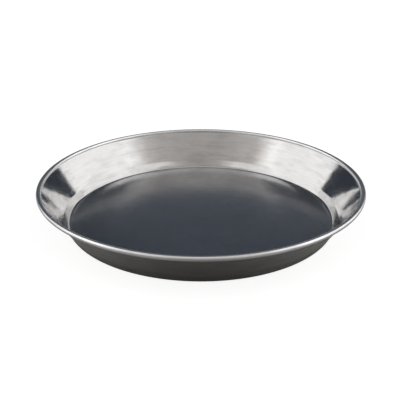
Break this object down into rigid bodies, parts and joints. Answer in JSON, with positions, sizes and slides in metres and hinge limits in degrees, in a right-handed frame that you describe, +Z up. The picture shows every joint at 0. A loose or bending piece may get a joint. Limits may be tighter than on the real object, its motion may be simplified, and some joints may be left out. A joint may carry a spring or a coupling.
{
  "type": "oil drain pan",
  "caption": "Round shallow sheet-metal pan with a flat floor, flared wall and rolled wired rim, set under an engine to catch drained oil.",
  "frame": {"origin": "centre of the flat underside, on the surface that the pan stands on", "axes": "+Z up along the axis of the pan; the pan is round, so X and Y are free, and the joint of the rim wire lies at +Y"},
  "size_m": [0.445, 0.445, 0.054],
  "materials": {
    "sheet_steel": "bright zinc or tin plate, satin",
    "wire_steel": "plain drawn wire"
  },
  "bodies": {
    "root": {"pan_shell": "sheet_steel", "rim_wire": "wire_steel"}
  },
  "joints": []
}
